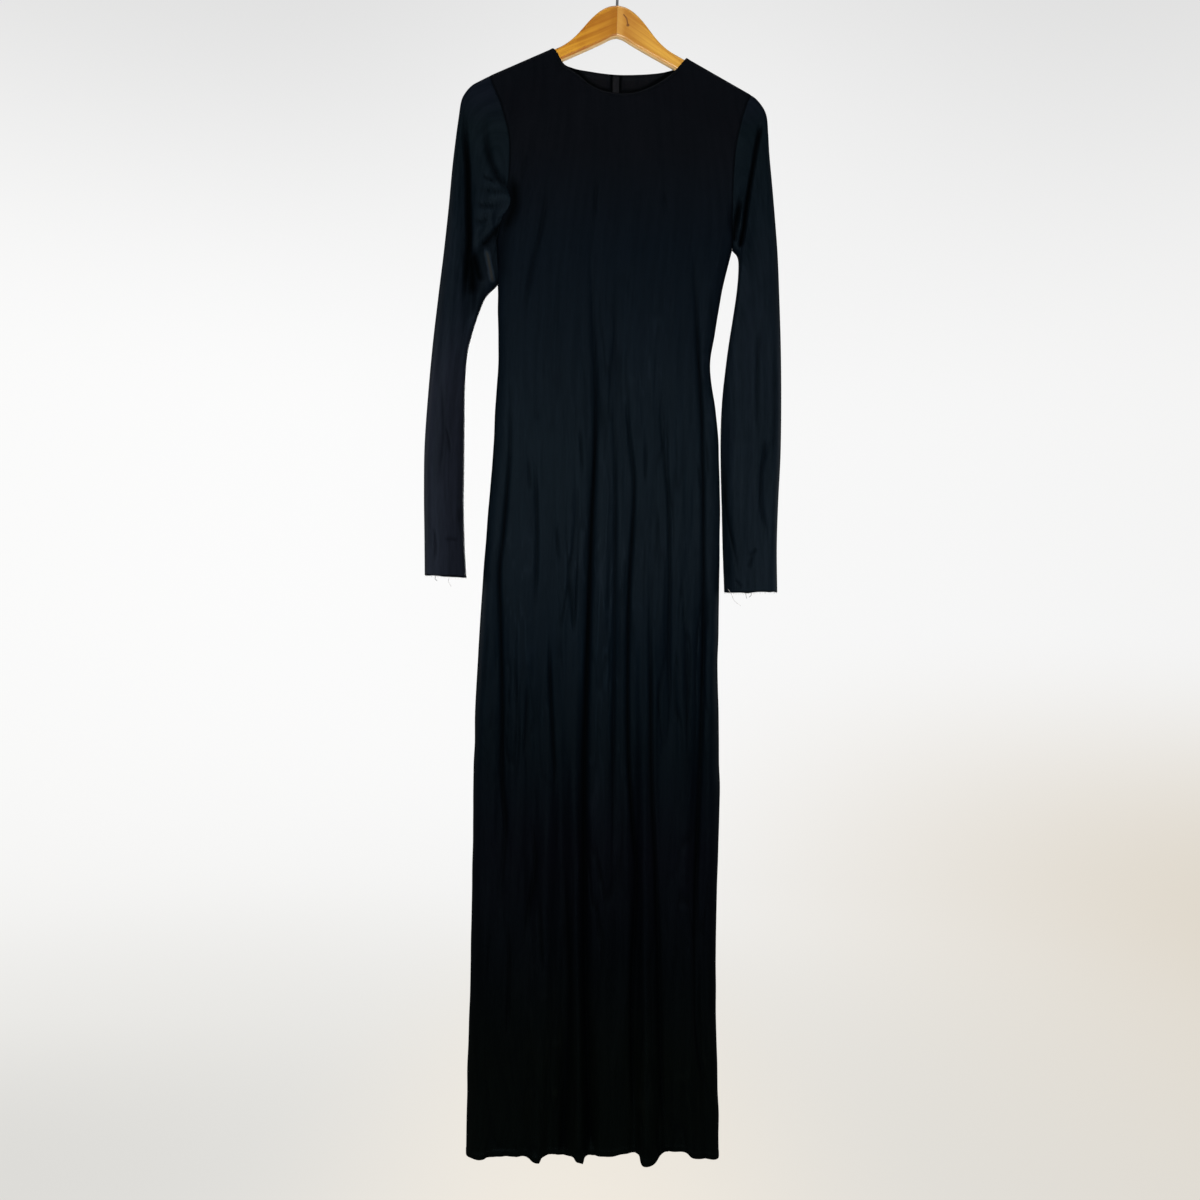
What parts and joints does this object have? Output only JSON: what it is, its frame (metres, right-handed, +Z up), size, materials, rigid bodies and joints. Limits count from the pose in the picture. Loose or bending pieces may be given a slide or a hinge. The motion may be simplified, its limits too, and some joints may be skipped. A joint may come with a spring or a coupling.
{
  "type": "maxi dress on a wooden hanger",
  "caption": "Long-sleeved, scoop-necked, floor-length jersey maxi dress hanging empty on a plain wooden hanger with a steel hook.",
  "frame": {"origin": "highest point of the inside of the hanger's hook, where a rail of up to 37 mm carries it", "axes": "+Z up, -Y out of the dress's front towards the viewer, +X towards the wearer's left"},
  "size_m": [0.4802, 0.0553, 1.6205],
  "materials": {
    "jersey": "fine matt viscose jersey, blue-black",
    "tape": "plain woven tape, dark grey, bare",
    "wood_dark": "varnished honey-coloured wood, the darker half",
    "wood_light": "varnished honey-coloured wood, the lighter half",
    "steel": "bright drawn steel wire, slightly dulled"
  },
  "bodies": {
    "root": {"front": "jersey", "back": "jersey", "sleeve_right": "jersey", "sleeve_left": "jersey", "neck_tape": "tape", "hanger_arm_right": "wood_dark", "hanger_arm_left": "wood_light", "hanger_hook": "steel"}
  },
  "joints": []
}
